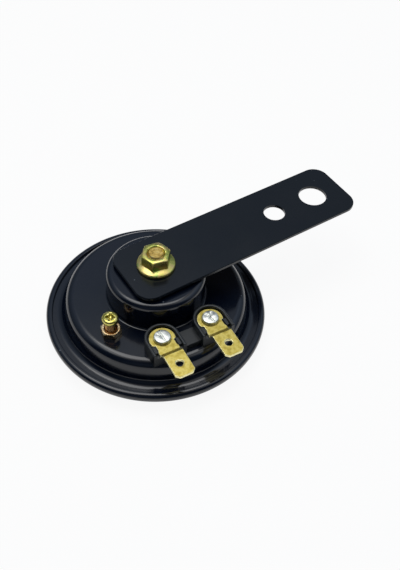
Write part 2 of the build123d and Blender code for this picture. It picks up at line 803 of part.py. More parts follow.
nut_floor = block_plane(screw_nut_top - screw_nut_height)
terminal_nut_left = hexagon_nut("terminal_nut_left", nut_floor,
                                (terminal_spread, block_place), screw_nut_flats,
                                screw_nut_height, screw_radius + nut_clearance)
terminal_nut_right = hexagon_nut("terminal_nut_right", nut_floor,
                                 (-terminal_spread, block_place), screw_nut_flats,
                                 screw_nut_height, screw_radius + nut_clearance)

pieces = [front_ring, rear_housing, front_gasket, rear_gasket, diaphragm, armature,
          armature_pad, armature_washer, disc_washer, tone_disc, tone_disc_nut, pole,
          coil_bobbin, coil_winding, strap_seat_washer, strap_bracket, flange_nut,
          adjusting_screw, adjuster_nut, breaker_base, breaker_insulator, breaker_spacer,
          contact_leaf, contact_arm, moving_contact, fixed_contact, breaker_rivets,
          terminal_block, terminal_left, terminal_right, terminal_screw_left,
          terminal_screw_right, terminal_washer_left, terminal_washer_right,
          inner_insulator, terminal_nut_left, terminal_nut_right]

os.makedirs("parts", exist_ok=True)
for piece in pieces:
    export_step(piece.part, f"parts/{piece.part.label}.step")
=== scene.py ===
import math

import bpy
from mathutils import Matrix, Vector


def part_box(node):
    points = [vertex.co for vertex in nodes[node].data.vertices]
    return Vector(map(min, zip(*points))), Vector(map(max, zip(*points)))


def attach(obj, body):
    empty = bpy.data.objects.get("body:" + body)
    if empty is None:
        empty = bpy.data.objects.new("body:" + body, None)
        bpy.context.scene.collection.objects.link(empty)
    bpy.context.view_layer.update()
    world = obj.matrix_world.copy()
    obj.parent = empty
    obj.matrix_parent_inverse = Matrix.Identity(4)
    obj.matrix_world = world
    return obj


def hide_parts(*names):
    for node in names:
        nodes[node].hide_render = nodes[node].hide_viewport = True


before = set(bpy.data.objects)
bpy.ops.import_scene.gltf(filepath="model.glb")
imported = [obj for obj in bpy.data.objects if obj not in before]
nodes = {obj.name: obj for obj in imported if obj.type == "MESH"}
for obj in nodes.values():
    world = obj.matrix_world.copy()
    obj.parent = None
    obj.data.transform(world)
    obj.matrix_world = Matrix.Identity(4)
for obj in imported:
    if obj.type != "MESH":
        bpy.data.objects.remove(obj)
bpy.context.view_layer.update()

mm = 0.001


# Camera: it stands above the terminals' side, about 250 mm from the horn, and looks
# down on the back of it. The lens is that of a short portrait lens on a full frame.
camera_place = Vector((-79.78, -135.31, 199.75)) * mm
camera_ahead = Vector((0.37885, 0.53105, -0.75793))
camera_right = Vector((0.83866, -0.54328, 0.03855))
camera_up = camera_right.cross(camera_ahead)
camera_data = bpy.data.cameras.new("camera")
camera_data.lens = 48.81
camera_data.sensor_width = 36.0
camera_data.sensor_fit = "AUTO"
camera_data.clip_start = 0.01
camera = bpy.data.objects.new("camera", camera_data)
turn = Matrix((camera_right, camera_up, -camera_ahead)).transposed()
camera.matrix_world = Matrix.Translation(camera_place) @ turn.to_4x4()
bpy.context.scene.collection.objects.link(camera)
bpy.context.scene.camera = camera
bpy.context.scene.view_settings.view_transform = "Standard"


# Studio: a sheet of white paper in a tent of cool white cloth, bright at its top, open and
# dark at its front, with a softbox over the far side. Black paint mirrors it as a dim
# blue grey on the flat, black in the hollows and a bright line along each rounded edge.
def linear(hex_colour):
    """Linear red, green, blue and alpha from an sRGB hex value such as "C8A040"."""
    shares = [int(hex_colour[i:i + 2], 16) / 255 for i in (0, 2, 4)]
    straight = [c / 12.92 if c <= 0.04045 else ((c + 0.055) / 1.055) ** 2.4 for c in shares]
    return (*straight, 1.0)


def add_node(owner, kind, links=None, stops=None, **settings):
    """Adds one shader node, with its own settings, its colour stops and its inputs."""
    node = owner.node_tree.nodes.new(kind)
    for name, value in settings.items():
        if hasattr(node, name):
            setattr(node, name, value)
        else:
            node.inputs[name.replace("_", " ")].default_value = value
    if stops:
        elements = node.color_ramp.elements
        elements[0].position, elements[0].color = stops[0][0], linear(stops[0][1])
        elements[-1].position, elements[-1].color = stops[-1][0], linear(stops[-1][1])
        for place, colour in stops[1:-1]:
            elements.new(place).color = linear(colour)
    for socket, source in (links or {}).items():
        owner.node_tree.links.new(source, node.inputs[socket])
    return node


def seen_by(owner, *kinds):
    """The sum of the Light Path's kinds of ray: 1 for a ray that is one of them."""
    rays = add_node(owner, "ShaderNodeLightPath")
    total = rays.outputs[kinds[0]]
    for kind in kinds[1:]:
        total = add_node(owner, "ShaderNodeMath", {0: total, 1: rays.outputs[kind]},
                         operation="ADD").outputs["Value"]
    return total


paper = bpy.data.materials.new("white_paper")
paper.use_nodes = True
shader = paper.node_tree.nodes["Principled BSDF"]
shader.inputs["Base Color"].default_value = linear("F2F2F2")
shader.inputs["Roughness"].default_value = 0.9
seen = seen_by(paper, "Is Camera Ray", "Is Glossy Ray", "Is Transmission Ray")
white_share = add_node(paper, "ShaderNodeMapRange", {"Value": seen}, To_Max=0.92)
white = add_node(paper, "ShaderNodeEmission", Strength=1.0)
mixed = add_node(paper, "ShaderNodeMixShader", {0: white_share.outputs["Result"],
                                                1: shader.outputs["BSDF"],
                                                2: white.outputs["Emission"]})
paper_out = paper.node_tree.nodes["Material Output"]
paper.node_tree.links.new(mixed.outputs["Shader"], paper_out.inputs["Surface"])
bpy.ops.object.select_all(action="DESELECT")
bpy.ops.mesh.primitive_plane_add(size=1600 * mm, location=(0, 0, -0.02 * mm))
floor = bpy.context.object
floor.name = "paper_floor"
floor.data.materials.append(paper)

world = bpy.data.worlds.new("studio_tent")
bpy.context.scene.world = world
world.use_nodes = True
world.node_tree.nodes.clear()
ray_way = add_node(world, "ShaderNodeTexCoord").outputs["Generated"]
height = add_node(world, "ShaderNodeSeparateXYZ", {"Vector": ray_way}).outputs["Z"]
cloth = add_node(world, "ShaderNodeValToRGB", {"Fac": height},
                 stops=[(0.0, "545C66"), (0.5, "808C9A"), (0.765, "A6B4C8"),
                        (0.83, "DEE4EA"), (0.9, "FFFFFF")])
to_front = add_node(world, "ShaderNodeVectorMath", {0: ray_way}, operation="DOT_PRODUCT")
to_front.inputs[1].default_value = (-0.58, -0.81, 0)
front_shade = add_node(world, "ShaderNodeValToRGB", {"Fac": to_front.outputs["Value"]},
                       stops=[(0.15, "FFFFFF"), (0.38, "626262"), (0.66, "626262"),
                              (0.85, "B4B4B4")])
to_right = add_node(world, "ShaderNodeVectorMath", {0: ray_way}, operation="DOT_PRODUCT")
to_right.inputs[1].default_value = (0.84, -0.54, 0)
right_shade = add_node(world, "ShaderNodeMapRange", {"Value": to_right.outputs["Value"]},
                       From_Min=-0.2, From_Max=0.12, To_Min=1.1, To_Max=0.75)
at_left = add_node(world, "ShaderNodeMapRange", {"Value": to_right.outputs["Value"]},
                   From_Min=-0.5, From_Max=-0.2, To_Min=2.0, To_Max=0.0)
high_up = add_node(world, "ShaderNodeMapRange", {"Value": height},
                   From_Min=0.78, From_Max=0.88)
left_glow = add_node(world, "ShaderNodeMath", {0: at_left.outputs["Result"],
                                               1: high_up.outputs["Result"]},
                     operation="MULTIPLY_ADD")
left_glow.inputs[2].default_value = 1.0     # what the product is added to
right_glow = add_node(world, "ShaderNodeMapRange", {"Value": to_right.outputs["Value"]},
                      From_Min=0.3, From_Max=0.6, To_Min=1.0, To_Max=2.4)
strength = front_shade.outputs["Color"]
for share in (right_shade.outputs["Result"], left_glow.outputs["Value"],
              right_glow.outputs["Result"]):
    strength = add_node(world, "ShaderNodeMath", {0: strength, 1: share},
                        operation="MULTIPLY").outputs["Value"]
tent = add_node(world, "ShaderNodeBackground", {"Color": cloth.outputs["Color"],
                                                "Strength": strength})
# The camera sees plain white round the sheet. Only mirrored rays and light come from the
# tent, since black paint that mirrors plain white everywhere would turn flat grey.
backdrop = add_node(world, "ShaderNodeBackground", Color=(1, 1, 1, 1), Strength=1.0)
mixed = add_node(world, "ShaderNodeMixShader",
                 {0: seen_by(world, "Is Camera Ray", "Is Transmission Ray"),
                  1: tent.outputs["Background"], 2: backdrop.outputs["Background"]})
add_node(world, "ShaderNodeOutputWorld", {"Surface": mixed.outputs["Shader"]})

lamp_data = bpy.data.lights.new("top_softbox", "AREA")
lamp_data.shape = "RECTANGLE"
lamp_data.size, lamp_data.size_y = 280 * mm, 200 * mm
lamp_data.energy = 0.5
lamp = bpy.data.objects.new("top_softbox", lamp_data)
lamp.location = Vector((10, 70, 400)) * mm
lamp.rotation_mode = "QUATERNION"
lamp.rotation_quaternion = (-lamp.location).to_track_quat("-Z", "Y")
bpy.context.scene.collection.objects.link(lamp)


# Rear housing: one deep drawing of steel sheet, from its flange up a drafted wall to the
# plateau and on to the coil cup. It is dipped in black stove enamel and baked, so it is
# near black at full gloss, with a faint orange peel, hand smears and a few dust specks.
def per_mm(pattern_mm):
    """A texture's scale for a pattern that repeats at this size in millimetres."""
    return 1000.0 / pattern_mm


def new_material(name):
    """A material with one Principled shader, and the Object coordinates to draw on."""
    material = bpy.data.materials.new(name)
    material.use_nodes = True
    place = add_node(material, "ShaderNodeTexCoord").outputs["Object"]
    return material, material.node_tree.nodes["Principled BSDF"], place


def connect(material, hue, dullness, bump):
    """Gives the shader its colour, its roughness and its small bumps."""
    shader = material.node_tree.nodes["Principled BSDF"]
    material.node_tree.links.new(hue.outputs["Color"], shader.inputs["Base Color"])
    material.node_tree.links.new(dullness.outputs["Result"], shader.inputs["Roughness"])
    material.node_tree.links.new(bump.outputs["Normal"], shader.inputs["Normal"])
    return material


def dress(material, *names):
    """Gives one material to pieces that keep their CAD shape."""
    for name in names:
        nodes[name].data.materials.clear()
        nodes[name].data.materials.append(material)


def black_paint(name, peel_mm, peel_depth_mm, gloss, dust_mm, black="060D1A", index=1.5):
    """A black paint film: its peel, its smears and the dust baked into it."""
    material, shader, place = new_material(name)
    shader.inputs["IOR"].default_value = index
    peel = add_node(material, "ShaderNodeTexNoise", {"Vector": place},
                    Scale=per_mm(peel_mm), Detail=3.0)
    smears = add_node(material, "ShaderNodeTexNoise", {"Vector": place},
                      Scale=per_mm(16.0), Detail=6.0, Roughness=0.6)
    dull = add_node(material, "ShaderNodeMapRange", {"Value": smears.outputs["Fac"]},
                    From_Min=0.35, From_Max=0.75, To_Min=gloss[0], To_Max=gloss[1])
    dust = add_node(material, "ShaderNodeTexVoronoi", {"Vector": place},
                    Scale=per_mm(dust_mm))
    near = add_node(material, "ShaderNodeMapRange", {"Value": dust.outputs["Distance"]},
                    From_Min=0.02, From_Max=0.045, To_Min=1.0, To_Max=0.0)
    tone = add_node(material, "ShaderNodeValToRGB", {"Fac": near.outputs["Result"]},
                    stops=[(0.0, black), (1.0, "5C626A")])
    bump = add_node(material, "ShaderNodeBump", {"Height": peel.outputs["Fac"]},
                    Strength=0.3, Distance=peel_depth_mm * mm)
    return connect(material, tone, dull, bump)


def work_on(piece):
    """Selects one piece alone, so that the next tool acts on it only."""
    bpy.ops.object.select_all(action="DESELECT")
    piece.select_set(True)
    bpy.context.view_layer.objects.active = piece


def bent_line(corners_mm, bends_mm, step_degrees=6):
    """The points of a line of straight runs, with an arc at each corner between them."""
    points = [corners_mm[0]]
    for number, bend in enumerate(bends_mm):
        before, corner, after = (Vector(c) for c in corners_mm[number:number + 3])
        back, onward = (before - corner).normalized(), (after - corner).normalized()
        half = back.angle(onward) / 2
        centre = corner + (back + onward).normalized() * bend / math.sin(half)
        first = (corner + back * bend / math.tan(half) - centre).normalized()
        last = (corner + onward * bend / math.tan(half) - centre).normalized()
        count = max(2, round((180 - math.degrees(2 * half)) / step_degrees))
        points += [tuple(centre + first.slerp(last, share / count) * bend)
                   for share in range(count + 1)]
    return points + [corners_mm[-1]]


def turn_piece(name, outline_mm, centre, sides=96):
    """A turned body: a line drawn out beside the centre, from one (radius, height) to the
    next, and spun once round it."""
    bpy.ops.object.select_all(action="DESELECT")
    bpy.ops.mesh.primitive_plane_add(size=mm, location=centre)
    piece = bpy.context.object
    piece.name = name
    bpy.ops.object.mode_set(mode="EDIT")
    bpy.ops.mesh.merge(type="CENTER")
    radius, height = outline_mm[0]
    bpy.ops.transform.translate(value=(radius * mm, 0, height * mm))
    for next_radius, next_height in outline_mm[1:]:
        step = ((next_radius - radius) * mm, 0, (next_height - height) * mm)
        bpy.ops.mesh.extrude_region_move(TRANSFORM_OT_translate={"value": step})
        radius, height = next_radius, next_height
    bpy.ops.mesh.select_all(action="SELECT")
    bpy.ops.mesh.spin(steps=sides, angle=math.tau, center=centre, axis=(0, 0, 1))
    bpy.ops.mesh.select_all(action="SELECT")
    bpy.ops.mesh.remove_doubles(threshold=0.002 * mm)
    bpy.ops.mesh.normals_make_consistent(inside=False)
    bpy.ops.object.mode_set(mode="OBJECT")
    return piece


def use_tool(piece, tool, operation):
    """Cuts a piece with another body, or joins the two, and clears the other away."""
    step = piece.modifiers.new("tool", "BOOLEAN")
    step.operation = operation
    step.solver = "EXACT"
    step.object = tool
    work_on(piece)
    bpy.ops.object.modifier_apply(modifier=step.name)
    bpy.data.objects.remove(tool)


def foot_of(node):
    """The middle of a node's underside."""
    low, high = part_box(node)
    return Vector(((low.x + high.x) / 2, (low.y + high.y) / 2, low.z))


def settle(piece, node, material):
    """Puts a finished piece in the place of its CAD node, in its finish."""
    work_on(piece)
    bpy.ops.object.transform_apply(location=True, rotation=True, scale=True)
    bpy.ops.object.shade_smooth_by_angle(angle=math.radians(32))
    flats = piece.modifiers.new("flats", "WEIGHTED_NORMAL")
    flats.weight = 100
    flats.keep_sharp = True
    bpy.ops.object.modifier_apply(modifier=flats.name)
    piece.data.materials.clear()
    piece.data.materials.append(material)
    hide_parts(node)
    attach(piece, "horn")


enamel = black_paint("black_stove_enamel", 2.4, 0.02, (0.1, 0.2), 7.0)
housing_low, housing_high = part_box("rear_housing")
housing_sheet, wall_draft = 0.8, math.radians(13.5)
flange_radius = housing_high.x / mm
flange_bottom, cup_top = housing_low.z / mm, housing_high.z / mm
flange_top = flange_bottom + housing_sheet
cup_radius, plateau_radius, plateau_top = 15.35, 27.86, 13.75
wall_foot_radius = plateau_radius + (plateau_top - flange_top) * math.tan(wall_draft)
wall_shift = housing_sheet * math.tan((math.pi / 2 - wall_draft) / 2)
stud_hole = 2.65
outer_bends, inner_bends = [2.5, 3.0, 0.75, 1.9], [1.1, 1.55, 2.2, 3.3]
shell = bent_line(
    [(flange_radius, flange_top), (wall_foot_radius, flange_top),
     (plateau_radius, plateau_top), (cup_radius, plateau_top), (cup_radius, cup_top),
     (stud_hole, cup_top)], outer_bends)
shell += bent_line(
    [(stud_hole, cup_top - housing_sheet),
     (cup_radius - housing_sheet, cup_top - housing_sheet),
     (cup_radius - housing_sheet, plateau_top - housing_sheet),
     (plateau_radius - wall_shift, plateau_top - housing_sheet),
     (wall_foot_radius - wall_shift, flange_bottom), (flange_radius, flange_bottom)],
    inner_bends)
housing = turn_piece("housing", [*shell, shell[0]], Vector((0, 0, 0)), 192)
for node, hole_radius in (("adjusting_screw", 1.8), ("terminal_washer_left", 2.2),
                          ("terminal_washer_right", 2.2)):
    hole_place = foot_of(node)
    hole_place.z = plateau_top * mm
    use_tool(housing, turn_piece("hole", [(0, -2), (hole_radius, -2), (hole_radius, 2),
                                          (0, 2)], hole_place, 48), "DIFFERENCE")
settle(housing, "rear_housing", enamel)


# Front ring: a second pressing, its edge crimped over the housing's flange behind and
# drawn forward in front into a low collar. It wears the same enamel.
ring_sheet, hem_bend = 0.8, 1.4
ring_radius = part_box("front_ring")[1].x / mm
lip_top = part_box("front_ring")[1].z / mm
lip_radius, collar_radius, collar_depth = ring_radius - 2.0, ring_radius - 4.8, 3.7
ring_outline = bent_line(
    [(collar_radius - ring_sheet / 2, 0), (collar_radius, 0), (collar_radius, collar_depth),
     (ring_radius, collar_depth), (ring_radius, lip_top), (lip_radius, lip_top),
     (lip_radius, lip_top - ring_sheet), (ring_radius - ring_sheet, lip_top - ring_sheet),
     (ring_radius - ring_sheet, collar_depth + ring_sheet),
     (collar_radius - ring_sheet, collar_depth + ring_sheet),
     (collar_radius - ring_sheet, 0), (collar_radius - ring_sheet / 2, 0)],
    [0.15, 0.4, hem_bend, hem_bend, 0.2, 0.2, hem_bend - ring_sheet, hem_bend - ring_sheet,
     1.2, 0.15])
crimped_ring = turn_piece("crimped_ring", ring_outline, Vector((0, 0, 0)), 192)
settle(crimped_ring, "front_ring", enamel)


# Strap bracket and the washer under it: punched flat steel in black electrophoretic
# paint, which is thinner and a little duller than the enamel, with a fine even grain.
dress(black_paint("black_dip_paint", 0.7, 0.012, (0.16, 0.26), 6.0, "080E15",
                  1.45), "strap_bracket")
dress(black_paint("black_washer_paint", 0.7, 0.012, (0.2, 0.3), 6.0, "080E15"),
      "strap_seat_washer")


# Flange nut that clamps the strap: cold-headed steel, a hexagon on a domed flange, in
# yellow chromated zinc. The coat drifts from straw to green.
def hexagon_body(name, flats_mm, turn_degrees, foot, barrel_mm, bore_mm, flange_mm=None):
    """A nut: a long hexagon bar, turned down to a barrel with its faces and corners, then
    joined to its flange and bored."""
    corner = flats_mm / 2 / math.cos(math.radians(30)) * mm
    bpy.ops.object.select_all(action="DESELECT")
    bpy.ops.mesh.primitive_cylinder_add(vertices=6, radius=corner, depth=20 * mm,
                                        location=foot,
                                        rotation=(0, 0, math.radians(turn_degrees - 30)))
    piece = bpy.context.object
    piece.name = name
    use_tool(piece, turn_piece("barrel", barrel_mm, foot), "INTERSECT")
    if flange_mm:
        use_tool(piece, turn_piece("flange", flange_mm, foot), "UNION")
    use_tool(piece, turn_piece("bore", bore_mm, foot), "DIFFERENCE")
    return piece


def round_edges(piece, width_mm, segments=2):
    """Breaks the sharp edges, as plating and handling do."""
    step = piece.modifiers.new("edges", "BEVEL")
    step.width = width_mm * mm
    step.segments = segments
    step.limit_method = "ANGLE"
    step.angle_limit = math.radians(30)
    step.use_clamp_overlap = False
    work_on(piece)
    bpy.ops.object.modifier_apply(modifier=step.name)


def metal(name, tones, patch_mm, gloss, mark_mm, mark_depth_mm=0.004, drawn=(1, 1, 1)):
    """A metal whose colour drifts in patches, with fine marks that roughen it."""
    material, shader, place = new_material(name)
    shader.inputs["Metallic"].default_value = 1.0
    patches = add_node(material, "ShaderNodeTexNoise", {"Vector": place},
                       Scale=per_mm(patch_mm), Detail=4.0)
    hue = add_node(material, "ShaderNodeValToRGB", {"Fac": patches.outputs["Fac"]},
                   stops=tones)
    along = add_node(material, "ShaderNodeMapping", {"Vector": place}, Scale=drawn)
    marks = add_node(material, "ShaderNodeTexNoise", {"Vector": along.outputs["Vector"]},
                     Scale=per_mm(mark_mm), Detail=3.0)
    sheen = add_node(material, "ShaderNodeMapRange", {"Value": marks.outputs["Fac"]},
                     From_Min=0.3, From_Max=0.7, To_Min=gloss[0], To_Max=gloss[1])
    bump = add_node(material, "ShaderNodeBump", {"Height": marks.outputs["Fac"]},
                    Strength=0.6, Distance=mark_depth_mm * mm)
    return connect(material, hue, sheen, bump)


nut_foot = foot_of("flange_nut")
nut_height = (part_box("flange_nut")[1].z - nut_foot.z) / mm
strap_nut = hexagon_body(
    "strap_nut", flats_mm=8.0, turn_degrees=-12.0, foot=nut_foot,
    barrel_mm=[(0, 0.5), (4.7, 0.5), (4.7, nut_height - 0.42), (3.85, nut_height),
               (0, nut_height)],
    bore_mm=[(0, -0.2), (2.53, -0.2), (2.53, nut_height - 0.35), (3.0, nut_height + 0.1),
             (0, nut_height + 0.1)],
    flange_mm=[(0, 0), (5.72, 0), (5.9, 0.2), (5.9, 0.85), (5.74, 1.12), (5.2, 1.36),
               (4.4, 1.66), (3.6, 1.88), (0, 1.88)])
round_edges(strap_nut, 0.1)
yellow_zinc = metal(
    "yellow_chromated_zinc",
    [(0.32, "96A252"), (0.45, "C8C26A"), (0.56, "D2B87A"), (0.68, "AAC46C")],
    3.0, (0.24, 0.4), 0.35)
settle(strap_nut, "flange_nut", yellow_zinc)


# Pole: turned from one bar of soft iron with its stud, in the same zinc. Only the
# stud's end shows, in the nut: parted off in a lathe, it is tan and softly scored.
dress(metal("scored_stud_zinc", [(0.35, "A88440"), (0.5, "E0BC68"), (0.65, "F0D488")],
            1.6, (0.24, 0.42), 0.5, 0.012), "pole")


# Adjusting screw: turned steel in yellow zinc, with a cross recess. Its end bears on the
# breaker's fixed arm, and a thin nut on the plateau locks it. The head has kept its
# bright yellow, while the thread and the nut have gone coppery.
screw_foot = foot_of("adjusting_screw")
screw_height = (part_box("adjusting_screw")[1].z - screw_foot.z) / mm
thread_start, pitch = 4.8, 0.6
ridges = [point for turn_number in range(6)
          for point in ((1.75, thread_start + turn_number * pitch),
                        (1.48, thread_start + (turn_number + 0.5) * pitch))]
adjuster_body = turn_piece(
    "adjuster_body",
    [(0, 0), (1.45, 0), (1.75, 0.3), *ridges, (1.7, screw_height - 1.75),
     (2.35, screw_height - 1.7), (2.5, screw_height - 1.5), (2.5, screw_height - 0.75),
     (2.42, screw_height - 0.42), (2.2, screw_height - 0.15), (1.9, screw_height),
     (0, screw_height)], screw_foot)
screw_top = screw_foot + Vector((0, 0, screw_height * mm))


def groove(piece, top, length_mm, width_mm, depth_mm, turn_degrees, start_mm=None,
           narrowing=0.8):
    """A straight groove in a head, down from its top. It runs right across, or from a
    start on its own line outwards."""
    way = Vector((math.cos(math.radians(turn_degrees)),
                  math.sin(math.radians(turn_degrees)), 0))
    shift = 0 if start_mm is None else start_mm + length_mm / 2
    bpy.ops.object.select_all(action="DESELECT")
    bpy.ops.mesh.primitive_cube_add(size=mm, location=top + way * shift * mm,
                                    rotation=(0, 0, math.radians(turn_degrees)),
                                    scale=(length_mm, width_mm, 2 * depth_mm))
    cutter = bpy.context.object
    bpy.ops.object.mode_set(mode="EDIT")
    bpy.ops.mesh.select_all(action="DESELECT")
    bpy.ops.object.mode_set(mode="OBJECT")
    for vertex in cutter.data.vertices:
        vertex.select = vertex.co.z < 0
    bpy.ops.object.mode_set(mode="EDIT")
    bpy.ops.transform.resize(value=(narrowing, narrowing, 1))
    bpy.ops.object.mode_set(mode="OBJECT")
    use_tool(piece, cutter, "DIFFERENCE")


for arm_turn in (55, 145):
    groove(adjuster_body, screw_top, 3.5, 0.9, 1.2, arm_turn, narrowing=0.6)
use_tool(adjuster_body, turn_piece("recess", [(0, -1.9), (0.35, -1.7), (1.05, 0.05),
                                              (0, 0.05)], screw_top, 32), "DIFFERENCE")
round_edges(adjuster_body, 0.07)


def tint(material, share, hex_colour):
    """Lays a second colour over a finish, where the share is 1. The Mix node has its two
    colours at inputs 6 and 7, and their mixture at output 2."""
    base = material.node_tree.nodes["Principled BSDF"].inputs["Base Color"]
    mixture = add_node(material, "ShaderNodeMix", {0: share, 6: base.links[0].from_socket},
                       data_type="RGBA")
    mixture.inputs[7].default_value = linear(hex_colour)
    material.node_tree.links.new(mixture.outputs[2], base)


adjuster_zinc = metal(
    "bright_yellow_zinc", [(0.3, "98903A"), (0.5, "C8BE6C"), (0.7, "DAD08C")],
    1.6, (0.18, 0.32), 0.3)
place = add_node(adjuster_zinc, "ShaderNodeTexCoord").outputs["Object"]
level = add_node(adjuster_zinc, "ShaderNodeSeparateXYZ", {"Vector": place}).outputs["Z"]
under_head = add_node(adjuster_zinc, "ShaderNodeMapRange", {"Value": level},
                      From_Min=screw_top.z - 1.6 * mm, From_Max=screw_top.z - 2.2 * mm)
tint(adjuster_zinc, under_head.outputs["Result"], "B88E5E")
settle(adjuster_body, "adjusting_screw", adjuster_zinc)

lock_foot = foot_of("adjuster_nut")
lock_height = (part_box("adjuster_nut")[1].z - lock_foot.z) / mm
lock_nut = hexagon_body(
    "lock_nut", flats_mm=5.7, turn_degrees=19.3, foot=lock_foot,
    barrel_mm=[(0, 0), (2.8, 0), (3.32, 0.28), (3.32, lock_height - 0.4),
               (2.72, lock_height), (0, lock_height)],
    bore_mm=[(0, -0.1), (1.78, -0.1), (1.78, lock_height - 0.35), (2.2, lock_height + 0.1),
             (0, lock_height + 0.1)])
round_edges(lock_nut, 0.1)
settle(lock_nut, "adjuster_nut",
       metal("coppery_zinc", [(0.3, "B48C5C"), (0.5, "D8BA8C"), (0.7, "F0E2BC")],
             1.4, (0.2, 0.34), 0.3))


# Terminal block: moulded in black phenolic, two horseshoe collars on one bridge. It
# comes from the mould satin, a dark blue grey, with a fine even grain.
def moulded(name, tones, patch_mm, gloss, grain_mm, grain_depth_mm, index=1.5):
    """A moulded or pressed material: its tones, its dull and shiny places, its grain."""
    material, shader, place = new_material(name)
    shader.inputs["IOR"].default_value = index
    patches = add_node(material, "ShaderNodeTexNoise", {"Vector": place},
                       Scale=per_mm(patch_mm), Detail=5.0)
    hue = add_node(material, "ShaderNodeValToRGB", {"Fac": patches.outputs["Fac"]},
                   stops=tones)
    grain = add_node(material, "ShaderNodeTexNoise", {"Vector": place},
                     Scale=per_mm(grain_mm), Detail=2.0)
    sheen = add_node(material, "ShaderNodeMapRange", {"Value": patches.outputs["Fac"]},
                     From_Min=0.3, From_Max=0.7, To_Min=gloss[0], To_Max=gloss[1])
    bump = add_node(material, "ShaderNodeBump", {"Height": grain.outputs["Fac"]},
                    Strength=0.5, Distance=grain_depth_mm * mm)
    return connect(material, hue, sheen, bump)


dress(moulded("black_phenolic", [(0.35, "080E11"), (0.65, "12191D")], 5.0, (0.3, 0.42),
              0.4, 0.01), "terminal_block")


# Blade terminals: pressed from half-hard brass strip, with a step up from the eye to
# the blade. Rolling leaves fine lines along the strip, and the blade's latch hole is
# countersunk. The faces that turn sideways or outwards, the edges and their bevels, get a
# pale painted highlight.
out_angle = math.radians(-94.5)
outward = Vector((math.cos(out_angle), math.sin(out_angle), 0))
latch_hole_mm = 11.0                    # this and the step's foot are measured from the eye
step_foot_mm, step_foot_shift_mm = (4.4, 5.2), 0.6


def whole_copy(name, node):
    """A copy of a CAD piece, its faces made whole again."""
    piece = bpy.data.objects.new(name, nodes[node].data.copy())
    bpy.context.scene.collection.objects.link(piece)
    work_on(piece)
    bpy.ops.object.mode_set(mode="EDIT")
    bpy.ops.mesh.select_all(action="SELECT")
    bpy.ops.mesh.remove_doubles(threshold=0.001 * mm)
    bpy.ops.mesh.dissolve_limited(angle_limit=math.radians(0.5))
    bpy.ops.mesh.select_all(action="DESELECT")
    bpy.ops.object.mode_set(mode="OBJECT")
    return piece


brass = metal("rolled_brass_strip",
              [(0.3, "9C8A40"), (0.45, "B8A652"), (0.58, "C8B868"), (0.72, "AE9E4E")],
              1.5, (0.36, 0.52), 0.3, 0.012, (3.0, 1.0, 1.0))
# Painted highlight: where a face turns sideways or outwards along the blade, mostly on the
# edges and bevels, the brass is tinted pale cream.
face = add_node(brass, "ShaderNodeNewGeometry").outputs["Normal"]
sideways = add_node(brass, "ShaderNodeVectorMath", {0: face}, operation="DOT_PRODUCT")
sideways.inputs[1].default_value = (-outward.y, outward.x, 0)
either = add_node(brass, "ShaderNodeMath", {0: sideways.outputs["Value"]},
                  operation="ABSOLUTE")
ahead = add_node(brass, "ShaderNodeVectorMath", {0: face}, operation="DOT_PRODUCT")
ahead.inputs[1].default_value = outward
most = add_node(brass, "ShaderNodeMath", {0: either.outputs["Value"],
                                          1: ahead.outputs["Value"]}, operation="MAXIMUM")
edge_highlight_share = add_node(brass, "ShaderNodeMapRange", {"Value": most.outputs["Value"]},
                From_Min=0.08, From_Max=0.35)
tint(brass, edge_highlight_share.outputs["Result"], "FFF6BE")
for side in ("left", "right"):
    tab = whole_copy("brass_tab_" + side, "terminal_" + side)
    eye = foot_of("terminal_washer_" + side)
    blade_top = eye + outward * latch_hole_mm * mm
    blade_top.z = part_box("terminal_" + side)[1].z
    for vertex in tab.data.vertices:
        along_mm = (vertex.co - eye).dot(outward) / mm
        vertex.select = step_foot_mm[0] < along_mm < step_foot_mm[1]
    work_on(tab)
    bpy.ops.object.mode_set(mode="EDIT")
    bpy.ops.transform.translate(value=outward * step_foot_shift_mm * mm)
    bpy.ops.object.mode_set(mode="OBJECT")
    round_edges(tab, 0.18, 3)
    use_tool(tab, turn_piece("countersink", [(0, -0.14), (1.1, -0.14), (1.45, 0.05),
                                             (0, 0.05)], blade_top, 48), "DIFFERENCE")
    settle(tab, "terminal_" + side, brass)


# Terminal screws and the washers under their heads: nickelled steel cheese heads, faced
# in a lathe, with a slot and a struck cross; and dull brass washers.
waves_per_unit = math.tau / 20          # turns a Wave texture's scale into waves a metre


def faced(name, centre, tones, patch_mm, gloss, ring_mm, ring_depth_mm):
    """A plated metal with faint rings round its centre, as facing or spinning leaves."""
    material, shader, place = new_material(name)
    shader.inputs["Metallic"].default_value = 1.0
    centred = add_node(material, "ShaderNodeMapping", {"Vector": place},
                       Location=(-centre.x, -centre.y, 0))
    rings = add_node(material, "ShaderNodeTexWave",
                     {"Vector": centred.outputs["Vector"]}, wave_type="RINGS",
                     rings_direction="Z", Scale=per_mm(ring_mm) * waves_per_unit,
                     Distortion=1.5, Detail=2.0)
    patches = add_node(material, "ShaderNodeTexNoise", {"Vector": place},
                       Scale=per_mm(patch_mm), Detail=4.0)
    hue = add_node(material, "ShaderNodeValToRGB", {"Fac": patches.outputs["Fac"]},
                   stops=tones)
    sheen = add_node(material, "ShaderNodeMapRange", {"Value": patches.outputs["Fac"]},
                     From_Min=0.3, From_Max=0.7, To_Min=gloss[0], To_Max=gloss[1])
    bump = add_node(material, "ShaderNodeBump", {"Height": rings.outputs["Fac"]},
                    Strength=0.5, Distance=ring_depth_mm * mm)
    return connect(material, hue, sheen, bump)


washer_brass = metal(
    "dull_washer_brass", [(0.3, "8E8646"), (0.5, "B8AC66"), (0.7, "CFC486")],
    1.5, (0.28, 0.42), 0.3)
head_height = 0.8
